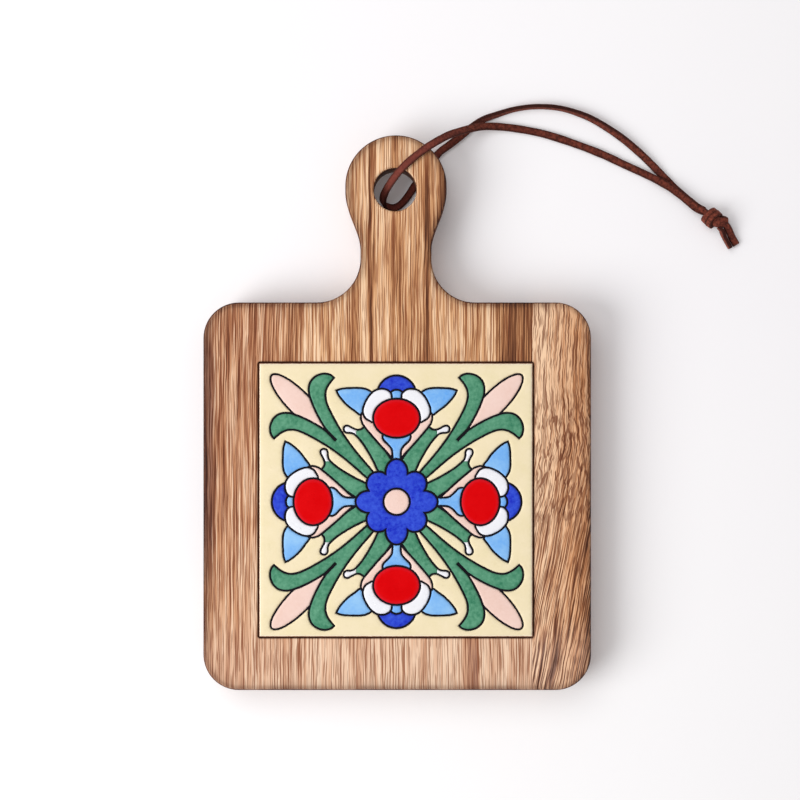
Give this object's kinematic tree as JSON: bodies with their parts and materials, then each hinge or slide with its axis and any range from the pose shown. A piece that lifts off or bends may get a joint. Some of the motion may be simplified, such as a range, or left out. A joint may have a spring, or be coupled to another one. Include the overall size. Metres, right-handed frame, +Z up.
{
  "type": "trivet",
  "caption": "Paddle-shaped wooden trivet with a round-headed handle, an inlaid square glazed tile with a floral line pattern, and a flat leather lace looped through the handle.",
  "frame": {"origin": "on the table, under the middle of the board's outline, handle included and lace left out", "axes": "+Y from the body along the handle, +Z up through the glazed face, +X to the right as seen from above"},
  "size_m": [0.2144, 0.2335, 0.019],
  "materials": {
    "wood": "satin",
    "stave_wood": "satin",
    "fired_clay": "matte",
    "adhesive": "matte",
    "dark_line": "matte",
    "cream_glaze": "satin",
    "green_glaze": "satin",
    "red_glaze": "satin",
    "cobalt_glaze": "satin",
    "sky_glaze": "satin",
    "white_glaze": "satin",
    "blush_glaze": "satin",
    "clear_foot": "gloss",
    "lace_leather": "suede"
  },
  "bodies": {
    "board": {"main_plank": "wood", "side_stave": "stave_wood", "tile_body": "fired_clay", "adhesive_bed": "adhesive", "line_ground": "dark_line", "glaze_cream": "cream_glaze", "glaze_green": "green_glaze", "glaze_red": "red_glaze", "glaze_cobalt": "cobalt_glaze", "glaze_sky": "sky_glaze", "glaze_white": "white_glaze", "glaze_blush": "blush_glaze", "foot_1": "clear_foot", "foot_2": "clear_foot", "foot_3": "clear_foot", "foot_4": "clear_foot"},
    "lace": {"lace_loop": "lace_leather", "knot": "lace_leather", "tail_1": "lace_leather", "tail_2": "lace_leather"}
  },
  "joints": [
    {"name": "lace_swing", "type": "hinge", "parent": "board", "child": "lace", "pos_m": [-0.0008, 0.088, 0], "axis": [0, 0, 1], "range_deg": [-30, 150]}
  ]
}
